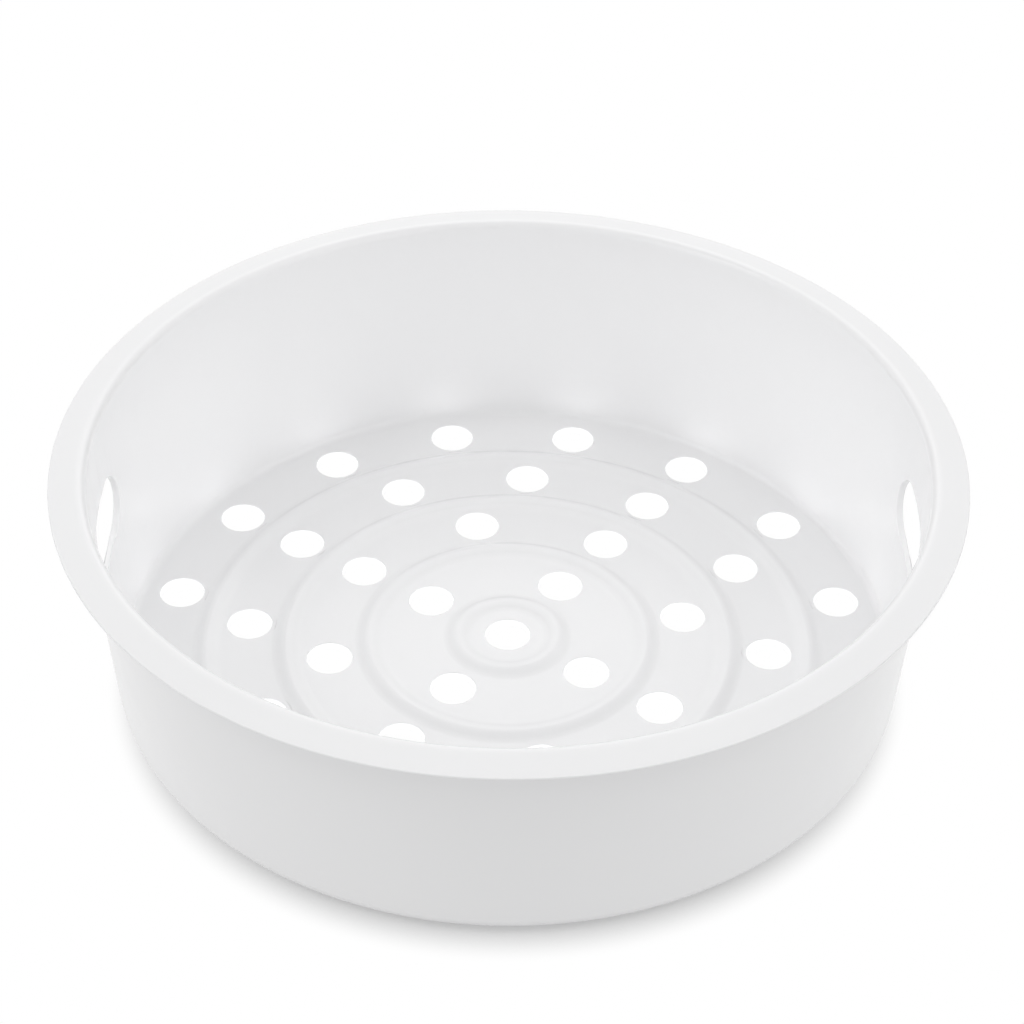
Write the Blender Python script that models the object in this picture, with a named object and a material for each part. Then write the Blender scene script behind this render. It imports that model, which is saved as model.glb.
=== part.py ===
"""Stackable steamer basket: one moulding in white polypropylene that hangs in a pot by its rim flange.

The basket is a single turned section with a flat rim flange, a drafted side wall, a rounded bottom corner and
a floor that climbs towards the middle in shallow round steps, each edged by a low bead. Rings of steam holes
are cut through the floor, and two finger slots through the wall lift the basket out of the pot.

Units are metres, +Z is up, and the origin is the centre of the face that the basket rests on. +X points
through the middle of one finger slot. Run it with: blender --background --python part.py
"""

import math

import bmesh
import bpy
from mathutils import Matrix, Vector

# Rim and flange; the edge round is at most half the flange's thickness
RIM_RADIUS = 0.115
HEIGHT = 0.0645
FLANGE_WIDTH = 0.0093
FLANGE_THICKNESS = 0.002
FLANGE_EDGE_ROUND = 0.0009
MOUTH_ROUND = 0.0018
UNDER_FLANGE_ROUND = 0.0012

# Side wall
WALL = 0.0018
DRAFT = math.radians(4.3)
CORNER_ROUND = 0.0032

# Stepped floor: the steps climb towards the middle. Each is edged by a low bead, whose crest lies a set distance
# inside a ring of holes and falls gently to the next step down.
FLOOR_THICKNESS = 0.0017
STEP_RISE = 0.0005
BEAD_RISE = 0.0005
BEAD_INNER_RUN = 0.0032
BEAD_OUTER_RUN = 0.0034
CREST_TO_HOLES = 0.0104

# Steam holes: one in the middle, then rings from the first ring's radius out to the floor's edge. All rings
# have a hole on one common radial line. A crowding of 1 would space the rings evenly.
HOLE_DIAMETER = 0.0118
FIRST_RING_RADIUS = 0.025
RING_PITCH = 0.0218
RING_CROWDING = 0.965
HOLES_ADDED_PER_RING = 4
HOLE_LINE_ANGLE = math.radians(55.4)
FLOOR_EDGE_LAND = 0.0019

# Finger slots: stadium outlines with round ends, measured down from the rim's top
FINGER_SLOTS = 2
SLOT_LENGTH = 0.035
SLOT_HEIGHT = 0.0175
SLOT_DROP = 0.0175

# How far a cutter runs past what it cuts
CUT_PAST = 0.004

# Facets
TURN_SEGMENTS = 64
HOLE_SIDES = 20
SLOT_SIDES_PER_QUARTER = 7
CORNER_ARC_STEPS = 4
SMALL_ARC_STEPS = 3
FALL_STEPS = 3
SHARP_ANGLE = math.radians(35.0)

# White polypropylene with a satin face
PLASTIC_COLOUR = (0.86, 0.86, 0.865, 1.0)
PLASTIC_ROUGHNESS = 0.38

# Radii that follow from the sizes above
MOUTH_RADIUS = RIM_RADIUS - FLANGE_WIDTH
HOLE_RADIUS = HOLE_DIAMETER / 2


def clear_scene():
    """Remove the objects that the file opened with."""
    for scene_object in list(bpy.data.objects):
        bpy.data.objects.remove(scene_object, do_unlink=True)


def inner_wall_radius(height):
    """Radius of the wall's inner face at a height, before its ends are rounded."""
    return MOUTH_RADIUS - (HEIGHT - height) * math.tan(DRAFT)


def outer_wall_radius(height):
    """Radius of the wall's outer face at a height: the wall's thickness lies square to its draft."""
    return inner_wall_radius(height) + WALL / math.cos(DRAFT)


def corner_reach(radius):
    """Distance from the bottom corner to where its round of this radius meets the floor."""
    return radius * math.tan(math.radians(45.0) - DRAFT / 2)


def hole_rings():
    """Rings of steam holes from the middle outwards, each as its radius and its number of holes.

    The outermost ring keeps a set land to the rounded corner. As many rings as suit the pitch are spread from
    the first one out to it, a little closer together towards the wall where the crowding is under 1.
    """
    floor_radius = inner_wall_radius(FLOOR_THICKNESS) - corner_reach(CORNER_ROUND)
    outermost = floor_radius - FLOOR_EDGE_LAND - HOLE_RADIUS
    span = outermost - FIRST_RING_RADIUS
    gaps = max(1, round(span / RING_PITCH))
    rings = [(0.0, 1)]
    for number in range(gaps + 1):
        radius = FIRST_RING_RADIUS + span * (number / gaps) ** RING_CROWDING
        rings.append((radius, HOLES_ADDED_PER_RING * (number + 1)))
    return rings


def floor_line(edge_height):
    """Points (radius, height) of a stepped floor from the axis outwards, which ends at the edge height.

    The floor's top and underside follow the same line, so the moulding is equally thick all over.
    """
    crest_radii = [radius - CREST_TO_HOLES for radius, count in hole_rings()[1:]]
    height = edge_height + STEP_RISE * len(crest_radii)
    points = [(0.0, height)]
    for crest_radius in crest_radii:
        points.append((crest_radius - BEAD_INNER_RUN, height))
        crest_height = height + BEAD_RISE
        for number in range(FALL_STEPS + 1):
            along = number / FALL_STEPS
            fallen = (BEAD_RISE + STEP_RISE) * (1 - math.cos(math.pi * along)) / 2
            points.append((crest_radius + BEAD_OUTER_RUN * along, crest_height - fallen))
        height -= STEP_RISE
    return points


def rounded_corner(before, corner, after, radius, arc_steps):
    """Points of the arc that rounds a corner of the section, tangent to both of its sides."""
    to_before = (Vector(before) - Vector(corner)).normalized()
    to_after = (Vector(after) - Vector(corner)).normalized()
    half_angle = to_before.angle(to_after) / 2
    centre = Vector(corner) + (to_before + to_after).normalized() * radius / math.sin(half_angle)
    reach = radius / math.tan(half_angle)
    first_spoke = Vector(corner) + to_before * reach - centre
    last_spoke = Vector(corner) + to_after * reach - centre
    points = []
    for number in range(arc_steps + 1):
        spoke = first_spoke.slerp(last_spoke, number / arc_steps).normalized() * radius
        points.append(tuple(centre + spoke))
    return points


def basket_section():
    """Points (radius, height) of the moulding's half section, from the floor's top at the axis, out along the
    inside, over the flange, down the outside and back along the underside to the axis."""
    floor_top = floor_line(FLOOR_THICKNESS)
    underside = floor_line(0.0)
    under_flange = HEIGHT - FLANGE_THICKNESS
    inner_corner = (inner_wall_radius(FLOOR_THICKNESS), FLOOR_THICKNESS)
    mouth = (MOUTH_RADIUS, HEIGHT)
    rim_top = (RIM_RADIUS, HEIGHT)
    rim_bottom = (RIM_RADIUS, under_flange)
    wall_top = (outer_wall_radius(under_flange), under_flange)
    outer_corner = (outer_wall_radius(0.0), 0.0)
    edge_round = min(FLANGE_EDGE_ROUND, FLANGE_THICKNESS / 2)
    corners = [
        (floor_top[-1], inner_corner, mouth, CORNER_ROUND, CORNER_ARC_STEPS),
        (inner_corner, mouth, rim_top, MOUTH_ROUND, SMALL_ARC_STEPS),
        (mouth, rim_top, rim_bottom, edge_round, SMALL_ARC_STEPS),
        (rim_top, rim_bottom, wall_top, edge_round, SMALL_ARC_STEPS),
        (rim_bottom, wall_top, outer_corner, UNDER_FLANGE_ROUND, SMALL_ARC_STEPS),
        (wall_top, outer_corner, underside[-1], CORNER_ROUND + WALL, CORNER_ARC_STEPS),
    ]
    section = list(floor_top)
    for corner in corners:
        section += rounded_corner(*corner)
    return section + underside[::-1]


def new_object(name, bm):
    """Make a scene object from a finished bmesh."""
    mesh = bpy.data.meshes.new(name)
    bm.to_mesh(mesh)
    bm.free()
    made = bpy.data.objects.new(name, mesh)
    bpy.context.scene.collection.objects.link(made)
    return made


def turned_basket():
    """Spin the half section around the Z axis into a closed body."""
    bm = bmesh.new()
    chain = [bm.verts.new((radius, 0.0, height)) for radius, height in basket_section()]
    for start, end in zip(chain, chain[1:]):
        bm.edges.new((start, end))
    bmesh.ops.spin(
        bm,
        geom=bm.verts[:] + bm.edges[:],
        cent=(0.0, 0.0, 0.0),
        axis=(0.0, 0.0, 1.0),
        angle=math.tau,
        steps=TURN_SEGMENTS,
        use_merge=True,
    )
    bmesh.ops.remove_doubles(bm, verts=bm.verts[:], dist=1e-6)
    bmesh.ops.recalc_face_normals(bm, faces=bm.faces[:])
    basket = new_object("steamer_basket", bm)
    basket.data.shade_smooth()
    basket.data.set_sharp_from_angle(angle=SHARP_ANGLE)
    return basket


def steam_hole_cutter():
    """One upright cylinder for each steam hole, through every step of the floor."""
    rings = hole_rings()
    floor_top = FLOOR_THICKNESS + STEP_RISE * (len(rings) - 1)
    bm = bmesh.new()
    for radius, count in rings:
        for number in range(count):
            angle = HOLE_LINE_ANGLE + math.tau * number / count
            turn = Matrix.Rotation(angle, 4, "Z")
            bmesh.ops.create_cone(
                bm,
                cap_ends=True,
                segments=HOLE_SIDES,
                radius1=HOLE_RADIUS,
                radius2=HOLE_RADIUS,
                depth=floor_top + 2 * CUT_PAST,
                matrix=turn @ Matrix.Translation((radius, 0.0, floor_top / 2)),
            )
    return new_object("steam_hole_cutter", bm)


def finger_slot_cutter():
    """One prism with round ends for each finger slot, straight out through the wall.

    Each starts as a lying cylinder whose flat sides touch the slot's height. Its two halves are then pulled
    apart along the wall to the slot's length.
    """
    sides = 4 * SLOT_SIDES_PER_QUARTER
    end_radius = SLOT_HEIGHT / 2 / math.cos(math.pi / sides)
    half_straight = (SLOT_LENGTH - SLOT_HEIGHT) / 2
    middle_height = HEIGHT - SLOT_DROP - SLOT_HEIGHT / 2
    wall_at_slot_ends = math.sqrt(inner_wall_radius(0.0) ** 2 - (SLOT_LENGTH / 2) ** 2)
    inner_end = wall_at_slot_ends - CUT_PAST
    outer_end = RIM_RADIUS + CUT_PAST
    lie_flat = Matrix.Rotation(math.radians(90.0), 4, "Y")
    half_side = Matrix.Rotation(math.pi / sides, 4, "Z")
    bm = bmesh.new()
    for number in range(FINGER_SLOTS):
        cylinder = bmesh.ops.create_cone(
            bm,
            cap_ends=True,
            segments=sides,
            radius1=end_radius,
            radius2=end_radius,
            depth=outer_end - inner_end,
            matrix=lie_flat @ half_side,
        )
        for corner in cylinder["verts"]:
            corner.co.y += math.copysign(half_straight, corner.co.y)
            corner.co += Vector(((inner_end + outer_end) / 2, 0.0, middle_height))
        turn = Matrix.Rotation(math.tau * number / FINGER_SLOTS, 3, "Z")
        bmesh.ops.rotate(bm, cent=(0.0, 0.0, 0.0), matrix=turn, verts=cylinder["verts"])
    return new_object("finger_slot_cutter", bm)


def cut(body, cutter):
    """Subtract a cutter from a body with a live Boolean, and keep the cutter out of the picture."""
    boolean = body.modifiers.new("cut_" + cutter.name, "BOOLEAN")
    boolean.operation = "DIFFERENCE"
    boolean.solver = "EXACT"
    boolean.object = cutter
    cutter.hide_render = True
    cutter.display_type = "WIRE"


def white_plastic():
    """The moulding's one material."""
    material = bpy.data.materials.new("white_polypropylene")
    material.use_nodes = True
    shader = material.node_tree.nodes["Principled BSDF"]
    shader.inputs["Base Color"].default_value = PLASTIC_COLOUR
    shader.inputs["Roughness"].default_value = PLASTIC_ROUGHNESS
    shader.inputs["Metallic"].default_value = 0.0
    return material


def build_steamer():
    """Model the basket: turn it, cut its holes and slots, and give it its plastic."""
    clear_scene()
    basket = turned_basket()
    cut(basket, steam_hole_cutter())
    cut(basket, finger_slot_cutter())
    basket.modifiers.new("even_shading", "WEIGHTED_NORMAL").keep_sharp = True
    basket.data.materials.append(white_plastic())


build_steamer()
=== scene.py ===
"""A white polypropylene steamer basket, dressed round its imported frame.

The basket is one moulding: a rim flange that falls a little to its edge, a drafted wall with two finger
slots, a rounded bottom corner and a floor that climbs to the middle in shallow round steps, with rings of
steam holes. It is turned from one section, and the holes and slots are cut with cutters that leave a
rounded lip. Units are metres, +Z is up.
"""

import logging
import math
from collections.abc import Sequence
from dataclasses import dataclass, field
from enum import Enum
from typing import Any, Union

import bmesh
import bpy
from mathutils import Matrix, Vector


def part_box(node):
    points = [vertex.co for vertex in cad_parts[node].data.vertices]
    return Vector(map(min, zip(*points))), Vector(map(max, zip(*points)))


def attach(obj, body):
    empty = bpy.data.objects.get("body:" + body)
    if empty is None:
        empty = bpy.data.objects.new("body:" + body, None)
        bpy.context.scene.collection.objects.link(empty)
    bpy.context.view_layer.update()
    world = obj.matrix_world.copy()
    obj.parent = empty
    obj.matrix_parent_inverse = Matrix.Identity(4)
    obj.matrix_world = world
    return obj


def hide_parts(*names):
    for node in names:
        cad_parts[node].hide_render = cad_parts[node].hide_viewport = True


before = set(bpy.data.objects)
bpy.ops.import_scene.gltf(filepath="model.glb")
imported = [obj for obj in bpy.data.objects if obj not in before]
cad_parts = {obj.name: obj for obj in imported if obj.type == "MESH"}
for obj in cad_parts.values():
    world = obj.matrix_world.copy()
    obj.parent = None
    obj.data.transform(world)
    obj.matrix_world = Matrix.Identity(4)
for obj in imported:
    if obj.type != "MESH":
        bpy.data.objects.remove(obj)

CAD_NODE = "steamer_basket"
MERGE_DISTANCE = 1e-7
# A Mix node's sockets for colours, by number, because several of its sockets share a name.
MIX_FACTOR, MIX_FIRST, MIX_SECOND, MIX_RESULT = 0, 6, 7, 2
Colour = tuple[float, float, float, float]
Point = tuple[float, float, float]
log = logging.getLogger("steamer")


class Face(Enum):
    """The two sides of the stepped floor; the value is the side's height as a share of the thickness."""

    TOP = 1
    UNDER = 0


@dataclass(frozen=True)
class Corner:
    """A corner of a turned section.

    Attributes:
        radius: Distance from the axis, in metres.
        height: Height along the axis, in metres.
        reach: Distance along both sides at which the corner's round starts; 0 leaves it sharp.
        steps: Number of facets in the round.
    """

    radius: float
    height: float
    reach: float = 0.0
    steps: int = 1


def turned(corners: Sequence[Corner], segments: int, closed: bool) -> bmesh.types.BMesh:
    """Round the corners of a wire section and spin it once round the Z axis.

    Args:
        corners: The section's corners in order.
        segments: Number of facets round the axis.
        closed: True for a section that is a loop, False for a chain whose ends lie on the axis.

    Returns:
        A closed mesh with its faces pointing out.
    """
    bm = bmesh.new()
    points = [bm.verts.new((corner.radius, 0.0, corner.height)) for corner in corners]
    for start, end in zip(points, points[1:]):
        bm.edges.new((start, end))
    if closed:
        bm.edges.new((points[-1], points[0]))
    for corner, point in zip(corners, points):
        if corner.reach > 0.0:
            bmesh.ops.bevel(
                bm,
                geom=[point],
                offset=corner.reach,
                offset_type="OFFSET",
                segments=corner.steps,
                profile=0.5,
                affect="VERTICES",
                material=-1,
            )
    bmesh.ops.spin(
        bm,
        geom=bm.verts[:] + bm.edges[:],
        cent=(0.0, 0.0, 0.0),
        axis=(0.0, 0.0, 1.0),
        angle=math.tau,
        steps=segments,
        use_merge=True,
    )
    bmesh.ops.remove_doubles(bm, verts=bm.verts[:], dist=MERGE_DISTANCE)
    bmesh.ops.recalc_face_normals(bm, faces=bm.faces[:])
    return bm


def mesh_object(name: str, bm: bmesh.types.BMesh) -> bpy.types.Object:
    """Turn a finished bmesh into an object of the scene.

    Args:
        name: The object's name.
        bm: The mesh, which is freed.

    Returns:
        The new object, at the origin.
    """
    mesh = bpy.data.meshes.new(name)
    bm.to_mesh(mesh)
    bm.free()
    made = bpy.data.objects.new(name, mesh)
    bpy.context.scene.collection.objects.link(made)
    return made


@dataclass(frozen=True)
class HoleRing:
    """A ring of steam holes.

    Attributes:
        radius: Distance of the holes from the axis.
        count: Number of holes.
        rise: Height of this ring's floor step over the outermost one.
    """

    radius: float
    count: int
    rise: float


@dataclass
class SteamerBasket:
    """The moulding. Its sizes are the real ones, in metres and radians.

    Attributes:
        rim_radius: Outer radius of the flange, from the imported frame.
        height: Height of the mouth over the resting face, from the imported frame.
        flange_width: How far the flange reaches out from the wall's inner face.
        flange_thickness: Height of the mouth over the flange's underside.
        flange_crown: Width of the flange's level part, next to the mouth.
        flange_fall: Drop of the flange's top from its level part to its edge.
        draft: Lean of the wall, which widens upwards.
        step_rise: Height of each of the floor's steps.
        bead_rise: Height of a bead's highest corner over the upper of the two steps that it parts.
        bead_shoulder: Height of the bead's shoulder over that step.
        bead_inner_run: Distance from the bead's inner foot out to its crest.
        bead_top_run: Distance from its shoulder out to its crest.
        bead_outer_run: Distance from its crest out to its outer foot.
        bead_round: Reach of the rounds at the bead's corners.
        fall_inset: How far outside the crest's radius the highest corner stands.
        crest_radii: Radius of each bead's crest, from the middle out.
        ring_pitch: Distance between rings of holes that sets how many there are.
        ring_crowding: A power just under 1, which sets the outer rings a little closer together.
        hole_line_angle: Angle of the line of first holes, one in each ring, from +X.
        floor_edge_land: Plain floor between the outermost holes and the bottom corner's round.
        slot_drop: Distance from the rim down to a finger slot's upper edge.
        lip_round: Reach of the round on the edges of holes and slots.
        lip_skirt: How far a cutter's skirt reaches past the hole's own radius.
        skirt_tilt: Angle at which the skirt leaves the sheet's face.
        cut_past: How far a cutter stands out beyond the sheet.
        rings: The rings of holes, worked out from the sizes.
    """

    rim_radius: float
    height: float
    flange_width: float = 0.0093
    flange_thickness: float = 0.002
    flange_crown: float = 0.0022
    flange_crown_round: float = 0.0005
    flange_fall: float = 0.0013
    edge_corner_round: float = 0.0002
    mouth_round: float = 0.0017
    under_flange_round: float = 0.0011
    wall: float = 0.0018
    draft: float = math.radians(4.3)
    corner_round: float = 0.0032
    inner_corner_round: float = 0.002
    floor_thickness: float = 0.0017
    step_rise: float = 0.0005
    bead_rise: float = 0.00075
    bead_shoulder: float = 0.00062
    bead_inner_run: float = 0.0031
    bead_top_run: float = 0.0011
    bead_outer_run: float = 0.0031
    bead_round: float = 0.0009
    fall_inset: float = 0.0005
    crest_radii: tuple[float, ...] = (0.0133, 0.0368, 0.0588, 0.0798)
    hole_diameter: float = 0.0118
    first_ring_radius: float = 0.025
    ring_pitch: float = 0.0218
    ring_crowding: float = 0.965
    holes_added_per_ring: int = 4
    hole_line_angle: float = math.radians(55.4)
    floor_edge_land: float = 0.0019
    slot_length: float = 0.035
    slot_height: float = 0.0175
    slot_drop: float = 0.0175
    lip_round: float = 0.0004
    lip_skirt: float = 0.0012
    skirt_tilt: float = math.radians(1.5)
    cut_past: float = 0.001
    turn_segments: int = 240
    hole_segments: int = 48
    slot_segments: int = 96
    lip_steps: int = 5
    round_steps: int = 8
    rings: list[HoleRing] = field(init=False)

    def __post_init__(self) -> None:
        """Work out the rings of holes, from the first one out to the floor's edge."""
        corner_reach = self.corner_round * self.corner_tangent()
        outermost = self.inner_wall(self.floor_thickness) - corner_reach - self.floor_edge_land
        outermost -= self.hole_diameter / 2
        span = outermost - self.first_ring_radius
        gaps = max(1, round(span / self.ring_pitch))
        self.rings = []
        for number in range(gaps + 1):
            radius = self.first_ring_radius + span * (number / gaps) ** self.ring_crowding
            rise = self.step_rise * (gaps - number)
            self.rings.append(HoleRing(radius, self.holes_added_per_ring * (number + 1), rise))

    def corner_tangent(self) -> float:
        """Reach of a round in the bottom corner as a share of its radius."""
        return math.tan(math.radians(45.0) - self.draft / 2)

    def inner_wall(self, height: float) -> float:
        """Radius of the wall's inner face at a height."""
        return self.rim_radius - self.flange_width - (self.height - height) * math.tan(self.draft)

    def outer_wall(self, height: float) -> float:
        """Radius of the wall's outer face at a height."""
        return self.inner_wall(height) + self.wall / math.cos(self.draft)

    def floor_corners(self, face: Face) -> list[Corner]:
        """Corners of one side of the stepped floor, from the middle hole's lip outwards.

        Args:
            face: The floor's top or its underside, which follow the same steps.

        Returns:
            The corners of the lip and of each step's bead, which rises to its crest and falls to the step
            below.
        """
        edge = self.floor_thickness * face.value
        height = edge + self.rings[0].rise + self.step_rise
        corners = [Corner(self.hole_diameter / 2, height, self.lip_round, self.lip_steps)]
        for ring, crest in zip(self.rings, self.crest_radii):
            upper = ring.rise + self.step_rise
            bead = (
                (crest - self.bead_inner_run, upper),
                (crest - self.bead_top_run, upper + self.bead_shoulder),
                (crest + self.fall_inset, upper + self.bead_rise),
                (crest + self.bead_outer_run, ring.rise),
            )
            for radius, level in bead:
                corners.append(Corner(radius, edge + level, self.bead_round, self.lip_steps))
        return corners

    def section(self) -> list[Corner]:
        """Corners of the moulding's section.

        Returns:
            The corners along the floor's top, the wall's inside, the flange, the outside and the underside.
        """
        tangent = self.corner_tangent()
        under_flange = self.height - self.flange_thickness
        mouth = Corner(self.inner_wall(self.height), self.height, self.mouth_round, self.round_steps)
        inner_corner = Corner(
            self.inner_wall(self.floor_thickness),
            self.floor_thickness,
            self.inner_corner_round * tangent,
            self.round_steps,
        )
        outer_corner = Corner(
            self.outer_wall(0.0),
            0.0,
            (self.corner_round + self.wall) * tangent,
            self.round_steps,
        )
        rim = [
            Corner(mouth.radius + self.flange_crown, self.height, self.flange_crown_round, self.lip_steps),
            Corner(self.rim_radius, self.height - self.flange_fall, self.edge_corner_round, self.lip_steps),
            Corner(self.rim_radius, under_flange, self.edge_corner_round, self.lip_steps),
        ]
        under = Corner(self.outer_wall(under_flange), under_flange, self.under_flange_round, self.lip_steps)
        return [
            *self.floor_corners(Face.TOP),
            inner_corner,
            mouth,
            *rim,
            under,
            outer_corner,
            *reversed(self.floor_corners(Face.UNDER)),
        ]

    def spool(self, radius: float, bottom: float, top: float, segments: int) -> bmesh.types.BMesh:
        """A cutter round the Z axis that leaves a hole with a rounded lip at both faces of a sheet.

        Args:
            radius: The hole's radius.
            bottom: Height of the sheet's lower face.
            top: Height of the sheet's upper face.
            segments: Number of facets round the hole.

        Returns:
            The cutter's mesh. Its skirts leave the two faces at a slight tilt.
        """
        skirt = radius + self.lip_skirt
        lift = self.lip_skirt * math.tan(self.skirt_tilt)
        chain = [
            Corner(0.0, bottom - self.cut_past),
            Corner(skirt, bottom - self.cut_past),
            Corner(skirt, bottom - lift),
            Corner(radius, bottom, self.lip_round, self.lip_steps),
            Corner(radius, top, self.lip_round, self.lip_steps),
            Corner(skirt, top + lift),
            Corner(skirt, top + self.cut_past),
            Corner(0.0, top + self.cut_past),
        ]
        return turned(chain, segments, closed=False)

    def steam_hole_cutter(self) -> bpy.types.Object:
        """Cutters for all rings of steam holes.

        Returns:
            One object, with a separate closed body for each hole.
        """
        everything = bmesh.new()
        for ring in self.rings:
            top = ring.rise + self.floor_thickness
            bm = self.spool(self.hole_diameter / 2, ring.rise, top, self.hole_segments)
            bmesh.ops.translate(bm, vec=(ring.radius, 0.0, 0.0), verts=bm.verts[:])
            turn = Matrix.Rotation(self.hole_line_angle, 3, "Z")
            bmesh.ops.rotate(bm, cent=(0.0, 0.0, 0.0), matrix=turn, verts=bm.verts[:])
            bmesh.ops.spin(
                bm,
                geom=bm.verts[:] + bm.edges[:] + bm.faces[:],
                cent=(0.0, 0.0, 0.0),
                axis=(0.0, 0.0, 1.0),
                angle=math.tau * (ring.count - 1) / ring.count,
                steps=ring.count - 1,
                use_duplicate=True,
            )
            ring_mesh = bpy.data.meshes.new("ring_of_cutters")
            bm.to_mesh(ring_mesh)
            bm.free()
            everything.from_mesh(ring_mesh)
            bpy.data.meshes.remove(ring_mesh)
        return mesh_object("steam_hole_cutter", everything)

    def slot_cutter(self, turn: float) -> bpy.types.Object:
        """Cutter for one finger slot, which follows the wall's curve and draft so that its lips are even.

        Args:
            turn: Angle of the slot's middle round the Z axis.

        Returns:
            The cutter, a spool whose halves are pulled apart to the slot's length.
        """
        bm = self.spool(self.slot_height / 2, 0.0, self.wall, self.slot_segments)
        half_side = Matrix.Rotation(math.pi / self.slot_segments, 3, "Z")
        lie = Matrix.Rotation(math.radians(90.0), 3, "Y")
        bmesh.ops.rotate(bm, cent=(0.0, 0.0, 0.0), matrix=lie @ half_side, verts=bm.verts[:])
        middle = self.height - self.slot_drop - self.slot_height / 2
        half_straight = (self.slot_length - self.slot_height) / 2
        for vert in bm.verts:
            vert.co.y += math.copysign(half_straight, vert.co.y)
            vert.co.z += middle
            inside = math.sqrt(self.inner_wall(vert.co.z) ** 2 - vert.co.y**2)
            outside = math.sqrt(self.outer_wall(vert.co.z) ** 2 - vert.co.y**2)
            vert.co.x = inside + (outside - inside) * vert.co.x / self.wall
        place = Matrix.Rotation(turn, 3, "Z")
        bmesh.ops.rotate(bm, cent=(0.0, 0.0, 0.0), matrix=place, verts=bm.verts[:])
        return mesh_object("finger_slot_cutter", bm)

    def build(self) -> bpy.types.Object:
        """Turn the moulding, cut its holes and slots and shade it.

        Returns:
            The finished basket, one closed mesh.
        """
        bm = turned(self.section(), self.turn_segments, closed=True)
        basket = mesh_object("basket_moulding", bm)
        cutters = [self.steam_hole_cutter(), self.slot_cutter(0.0), self.slot_cutter(math.pi)]
        for cutter in cutters:
            boolean = basket.modifiers.new("cut_" + cutter.name, "BOOLEAN")
            boolean.operation = "DIFFERENCE"
            boolean.solver = "EXACT"
            boolean.object = cutter
        graph = bpy.context.evaluated_depsgraph_get()
        mesh = bpy.data.meshes.new_from_object(basket.evaluated_get(graph))
        basket.modifiers.clear()
        blank = basket.data
        basket.data = mesh
        bpy.data.meshes.remove(blank)
        for cutter in cutters:
            cutter_mesh = cutter.data
            bpy.data.objects.remove(cutter)
            bpy.data.meshes.remove(cutter_mesh)
        mesh.name = basket.name
        mesh.shade_smooth()
        weighted = basket.modifiers.new("even_shading", "WEIGHTED_NORMAL")
        weighted.mode = "FACE_AREA"
        weighted.keep_sharp = True
        return basket


Number = Union["Signal", float]


class Signal:
    """A shader value that takes part in Python arithmetic; each operation adds one Math node."""

    def __init__(self, bench: "NodeBench", socket: bpy.types.NodeSocket) -> None:
        """Wrap an output socket of a node tree."""
        self.bench = bench
        self.socket = socket

    def _math(self, operation: str, first: Number, second: Number) -> "Signal":
        """Add a Math node of one operation on two values."""
        return self.bench.node("ShaderNodeMath", {"operation": operation}, {0: first, 1: second})

    def __add__(self, other: Number) -> "Signal":
        """self + other."""
        return self._math("ADD", self, other)

    def __radd__(self, other: Number) -> "Signal":
        """other + self."""
        return self._math("ADD", other, self)

    def __sub__(self, other: Number) -> "Signal":
        """self - other."""
        return self._math("SUBTRACT", self, other)

    def __rsub__(self, other: Number) -> "Signal":
        """other - self."""
        return self._math("SUBTRACT", other, self)

    def __mul__(self, other: Number) -> "Signal":
        """self * other."""
        return self._math("MULTIPLY", self, other)

    def __rmul__(self, other: Number) -> "Signal":
        """other * self."""
        return self._math("MULTIPLY", other, self)

    def __pow__(self, other: Number) -> "Signal":
        """self ** other."""
        return self._math("POWER", self, other)

    def at_least(self, other: Number) -> "Signal":
        """The larger of the two values."""
        return self._math("MAXIMUM", self, other)

    def under(self, other: Number) -> "Signal":
        """1 where self is less than other, else 0."""
        return self._math("LESS_THAN", self, other)


class NodeBench:
    """A material's or the world's node tree, emptied, with a method that adds any node."""

    def __init__(self, tree: bpy.types.NodeTree) -> None:
        """Start with an empty tree."""
        self.tree = tree
        tree.nodes.clear()

    def node(
        self,
        kind: str,
        settings: dict[str, Any],
        inputs: dict[Union[str, int], Any],
        output: Union[str, int] = 0,
    ) -> Signal:
        """Add a node: its settings come first, then the values or links of its sockets.

        Args:
            kind: The node's type, such as ShaderNodeMath.
            settings: Attributes of the node.
            inputs: A value or a Signal for each input socket, by name or number.
            output: The output socket to return.

        Returns:
            The chosen output, without a socket for a node that has no outputs.
        """
        made = self.tree.nodes.new(kind)
        for name, value in settings.items():
            setattr(made, name, value)
        for name, value in inputs.items():
            if isinstance(value, Signal):
                self.tree.links.new(value.socket, made.inputs[name])
            else:
                made.inputs[name].default_value = value
        return Signal(self, made.outputs[output]) if made.outputs else Signal(self, None)

    def vector_math(self, operation: str, inputs: dict[Union[str, int], Any], output: str) -> Signal:
        """Add a Vector Math node of one operation."""
        return self.node("ShaderNodeVectorMath", {"operation": operation}, inputs, output)


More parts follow.
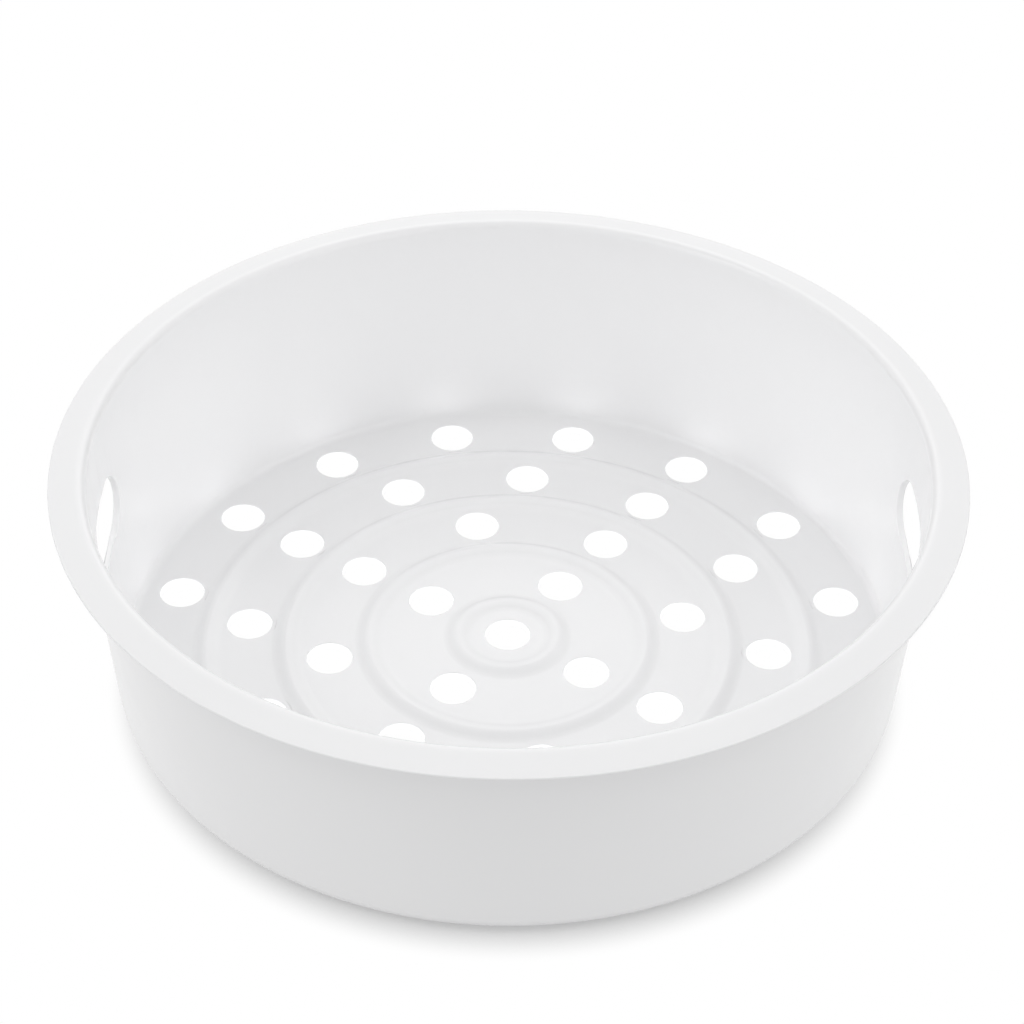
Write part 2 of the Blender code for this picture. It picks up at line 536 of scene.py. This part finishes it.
@dataclass(frozen=True)
class SatinPolypropylene:
    """White moulded polypropylene: satin, faintly clouded, with the fine grain of the mould."""

    colour: Colour = (0.945, 0.945, 0.95, 1.0)
    clouded_colour: Colour = (0.925, 0.925, 0.932, 1.0)
    cloud_scale: float = 22.0
    cloud_detail: float = 3.0
    roughness: float = 0.24
    roughness_spread: float = 0.07
    patch_scale: float = 60.0
    patch_detail: float = 2.0
    grain_scale: float = 1400.0
    grain_depth: float = 0.000012
    ripple_scale: float = 90.0
    ripple_depth: float = 0.00006
    relief_detail: float = 1.0
    ior: float = 1.49

    def material(self, name: str) -> bpy.types.Material:
        """Make the material.

        Args:
            name: The material's name.

        Returns:
            A material whose colour, roughness and bump vary over the surface.
        """
        made = bpy.data.materials.new(name)
        made.use_nodes = True
        bench = NodeBench(made.node_tree)
        place = bench.node("ShaderNodeTexCoord", {}, {}, "Object")

        def noise(scale: float, detail: float) -> Signal:
            """Noise of one scale over the piece."""
            inputs = {"Vector": place, "Scale": scale, "Detail": detail}
            return bench.node("ShaderNodeTexNoise", {"noise_dimensions": "3D"}, inputs, "Fac")

        clouds = noise(self.cloud_scale, self.cloud_detail)
        patches = noise(self.patch_scale, self.patch_detail)
        grain = noise(self.grain_scale, self.relief_detail)
        ripple = noise(self.ripple_scale, self.relief_detail)
        relief = grain * self.grain_depth + ripple * self.ripple_depth
        colour = bench.node(
            "ShaderNodeMix",
            {"data_type": "RGBA"},
            {MIX_FACTOR: clouds, MIX_FIRST: self.colour, MIX_SECOND: self.clouded_colour},
            MIX_RESULT,
        )
        bump = bench.node(
            "ShaderNodeBump", {}, {"Strength": 1.0, "Distance": 1.0, "Height": relief}, "Normal"
        )
        shader = bench.node(
            "ShaderNodeBsdfPrincipled",
            {},
            {
                "Base Color": colour,
                "Roughness": patches * self.roughness_spread + (self.roughness - self.roughness_spread / 2),
                "Normal": bump,
                "IOR": self.ior,
            },
            "BSDF",
        )
        bench.node("ShaderNodeOutputMaterial", {}, {"Surface": shader})
        return made


@dataclass(frozen=True)
class Glow:
    """A soft patch of light in the sky.

    Attributes:
        azimuth: Where its middle stands round the Z axis, in degrees from +X.
        elevation: How high its middle stands, in degrees.
        strength: Brightness in the middle, where 1 is white.
        falloff: How quickly it dims off its middle: the power of the cosine of the angle.
    """

    azimuth: float
    elevation: float
    strength: float
    falloff: float = 10.0

    @property
    def toward(self) -> Point:
        """Where the patch stands.

        Returns:
            Unit vector from the basket to the middle of the patch.
        """
        azimuth, elevation = math.radians(self.azimuth), math.radians(self.elevation)
        level = math.cos(elevation)
        return (math.cos(azimuth) * level, math.sin(azimuth) * level, math.sin(elevation))


@dataclass
class Studio:
    """A white light table under a sky of soft patches.

    The table lights the basket from below, through its steam holes too. The camera sees it as plain white,
    apart from a narrow band round the basket's foot, widest in front and behind. There the table's own
    shading shows, with the basket's real shadow, and fades out.

    Attributes:
        glows: The sky's patches.
        floor_radius: Radius of the table's top.
        floor_segments: Number of sides of the table's top.
        floor_drop: How far the top lies under the resting face, so that the two don't flicker.
        table_glow: Strength of the light that the table gives off around the basket.
        glow_inside: The same under the basket.
        table_colour: The table's colour where its shading shows.
        white: Plain white.
        white_inside: Radius of the plain white disc under the basket, seen through its steam holes.
        shadow_centre: Point that the band's distances are measured from, in front and behind alike.
        shadow_from: Distance at which the shading starts to fade to plain white.
        shadow_to: Distance at which it has faded.
    """

    glows: tuple[Glow, ...] = (
        Glow(0.0, 35.0, 1.34),
        Glow(180.0, 35.0, 1.34),
        Glow(0.0, 12.0, 0.22),
        Glow(180.0, 12.0, 0.22),
        Glow(90.0, 12.0, 0.45),
        Glow(90.0, 35.0, 1.8),
        Glow(90.0, 62.0, 0.4, 40.0),
        Glow(0.0, 90.0, 0.18),
        Glow(-90.0, 60.0, 0.42),
        Glow(40.0, 35.0, 0.7, 40.0),
        Glow(140.0, 35.0, 0.7, 40.0),
        Glow(-40.0, 30.0, 1.5, 40.0),
        Glow(-140.0, 30.0, 1.5, 40.0),
        Glow(-45.0, 40.0, 0.45),
        Glow(-135.0, 40.0, 0.45),
        Glow(-45.0, 15.0, 0.7),
        Glow(-135.0, 15.0, 0.7),
        Glow(-168.0, 50.0, 4.5, 150.0),
        Glow(-12.0, 50.0, 3.0, 150.0),
    )
    floor_radius: float = 6.0
    floor_segments: int = 64
    floor_drop: float = 0.0003
    table_glow: float = 0.65
    glow_inside: float = 1.9
    table_colour: Colour = (0.72, 0.72, 0.72, 1.0)
    white: Colour = (1.0, 1.0, 1.0, 1.0)
    white_inside: float = 0.0985
    shadow_centre: Point = (0.0, 0.0065, 0.0)
    shadow_from: float = 0.092
    shadow_to: float = 0.1053

    def seen(self, bench: NodeBench) -> Signal:
        """Tell the rays that show the table from those that carry its light.

        Args:
            bench: The node tree to add to.

        Returns:
            1 for rays that come straight from the camera, off gloss or through glass, else 0.
        """
        rays = {
            ray: bench.node("ShaderNodeLightPath", {}, {}, ray)
            for ray in ("Is Camera Ray", "Is Glossy Ray", "Is Transmission Ray")
        }
        total = rays["Is Camera Ray"] + rays["Is Glossy Ray"] + rays["Is Transmission Ray"]
        return bench.node("ShaderNodeClamp", {}, {"Value": total})

    def floor(self) -> None:
        """Lay the table's top, which looks white and keeps the basket's shadow."""
        bm = bmesh.new()
        bmesh.ops.create_circle(bm, cap_ends=True, segments=self.floor_segments, radius=self.floor_radius)
        bmesh.ops.translate(bm, vec=(0.0, 0.0, -self.floor_drop), verts=bm.verts[:])
        floor = mesh_object("floor", bm)
        made = bpy.data.materials.new("light_table")
        made.use_nodes = True
        bench = NodeBench(made.node_tree)
        place = bench.node("ShaderNodeTexCoord", {}, {}, "Object")
        distance = bench.vector_math("LENGTH", {0: place}, "Value")
        folded = bench.vector_math("ABSOLUTE", {0: place}, "Vector")
        reach = bench.vector_math("DISTANCE", {0: folded, 1: self.shadow_centre}, "Value")
        fade = bench.node(
            "ShaderNodeMapRange",
            {"interpolation_type": "SMOOTHSTEP"},
            {"Value": reach, "From Min": self.shadow_from, "From Max": self.shadow_to},
            "Result",
        )
        inside = distance.under(self.white_inside)
        plain = fade.at_least(inside)
        shaded = bench.node("ShaderNodeBsdfDiffuse", {}, {"Color": self.table_colour}, "BSDF")
        white = bench.node("ShaderNodeEmission", {}, {"Color": self.white, "Strength": 1.0}, "Emission")
        around, under = (
            bench.node("ShaderNodeEmission", {}, {"Color": self.white, "Strength": strength}, "Emission")
            for strength in (self.table_glow, self.glow_inside)
        )
        glow = bench.node("ShaderNodeMixShader", {}, {0: inside, 1: around, 2: under})
        looks = bench.node("ShaderNodeMixShader", {}, {0: plain, 1: shaded, 2: white})
        shader = bench.node("ShaderNodeMixShader", {}, {0: self.seen(bench), 1: glow, 2: looks})
        bench.node("ShaderNodeOutputMaterial", {}, {"Surface": shader})
        floor.data.materials.append(made)

    def sky(self) -> None:
        """Light the scene from the patches, in front of a background that looks white."""
        world = bpy.data.worlds.new("studio")
        world.use_nodes = True
        bpy.context.scene.world = world
        bench = NodeBench(world.node_tree)
        way = bench.node("ShaderNodeTexCoord", {}, {}, "Generated")
        strength: Number = 0.0
        for glow in self.glows:
            facing = bench.vector_math("DOT_PRODUCT", {0: way, 1: glow.toward}, "Value")
            strength = strength + facing.at_least(0.0) ** glow.falloff * glow.strength
        camera = bench.node("ShaderNodeLightPath", {}, {}, "Is Camera Ray")
        strength = camera + (1.0 - camera) * strength
        inputs = {"Color": self.white, "Strength": strength}
        shader = bench.node("ShaderNodeBackground", {}, inputs, "Background")
        bench.node("ShaderNodeOutputWorld", {}, {"Surface": shader})

    def set_up(self) -> None:
        """Build the table and the sky."""
        self.floor()
        self.sky()


@dataclass(frozen=True)
class PhotoCamera:
    """The camera that sees the basket as the photograph shows it.

    Attributes:
        azimuth: How far it stands round the Z axis from straight in front, in radians.
        elevation: How far it looks down, in radians.
        distance: From the point that it aims at.
        target: The point that it aims at.
        roll: Its turn about its own line of sight, in radians.
        lens: Focal length in millimetres.
        sensor: Width of the sensor in millimetres.
        nearest: Distance from which it sees.
    """

    azimuth: float = math.radians(-0.35)
    elevation: float = 0.6774
    distance: float = 0.68548
    target: Point = (0.00084, 0.0, 0.04538)
    roll: float = 0.009
    lens: float = 94.303
    sensor: float = 36.0
    nearest: float = 0.01

    def place(self) -> None:
        """Put the camera in the scene and make it the scene's camera."""
        data = bpy.data.cameras.new("photo_camera")
        data.lens = self.lens
        data.sensor_width = self.sensor
        data.clip_start = self.nearest
        camera = bpy.data.objects.new("photo_camera", data)
        turn = Matrix.Rotation(self.azimuth, 4, "Z")
        aim = turn @ Matrix.Rotation(math.pi / 2 - self.elevation, 4, "X")
        lean = Matrix.Rotation(self.roll, 4, "Z")
        back = Matrix.Translation((0.0, 0.0, self.distance))
        camera.matrix_world = Matrix.Translation(self.target) @ aim @ lean @ back
        bpy.context.scene.collection.objects.link(camera)
        bpy.context.scene.camera = camera


def main() -> None:
    """Build the basket, its finish, the studio and the camera."""
    logging.basicConfig(level=logging.INFO, format="%(name)s: %(message)s")
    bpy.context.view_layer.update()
    low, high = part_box(CAD_NODE)
    basket = SteamerBasket(rim_radius=(high[0] - low[0]) / 2, height=high[2] - low[2])
    moulding = basket.build()
    moulding.data.materials.clear()
    moulding.data.materials.append(SatinPolypropylene().material("white_polypropylene"))
    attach(moulding, "root")
    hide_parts(CAD_NODE)
    faces = len(moulding.data.polygons)
    log.info("%s: %d faces, %d rings of holes", moulding.name, faces, len(basket.rings))
    Studio().set_up()
    PhotoCamera().place()
    bpy.context.scene.view_settings.view_transform = "Standard"


if __name__ == "__main__":
    main()
